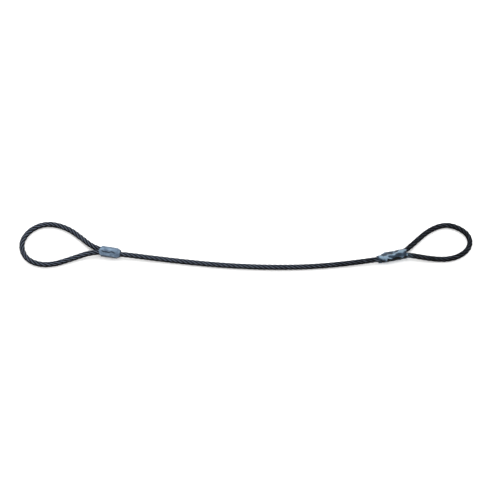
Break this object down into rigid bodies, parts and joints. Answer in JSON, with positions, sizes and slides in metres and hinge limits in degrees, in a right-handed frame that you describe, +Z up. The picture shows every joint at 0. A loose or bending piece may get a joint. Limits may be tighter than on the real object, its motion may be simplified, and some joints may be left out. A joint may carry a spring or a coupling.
{
  "type": "wire rope sling",
  "caption": "Wire rope lifting sling lying flat, with a soft eye at each end, one closed by a pressed ferrule and one by a wrapped oval sleeve",
  "frame": {"origin": "centre of the bounding box in X and Y, on the ground plane that the sling lies on", "axes": "+X along the sling towards the wrapped eye, +Z up from the ground, +Y to the side that the upper legs of the eyes lie on"},
  "size_m": [0.9984, 0.1207, 0.024],
  "materials": {
    "strand_steel": "drawn steel wire, dark with dried lubricant",
    "core_steel": "greased steel core rope",
    "ferrule_aluminium": "pressed aluminium, dull",
    "sleeve_steel": "dark pressed steel",
    "wrap_metal": "crumpled metal wrap, weathered"
  },
  "bodies": {
    "root": {"rope_core": "core_steel", "strand_1": "strand_steel", "strand_2": "strand_steel", "strand_3": "strand_steel", "strand_4": "strand_steel", "strand_5": "strand_steel", "strand_6": "strand_steel", "left_ferrule": "ferrule_aluminium", "right_sleeve": "sleeve_steel", "right_wrap": "wrap_metal"}
  },
  "joints": []
}
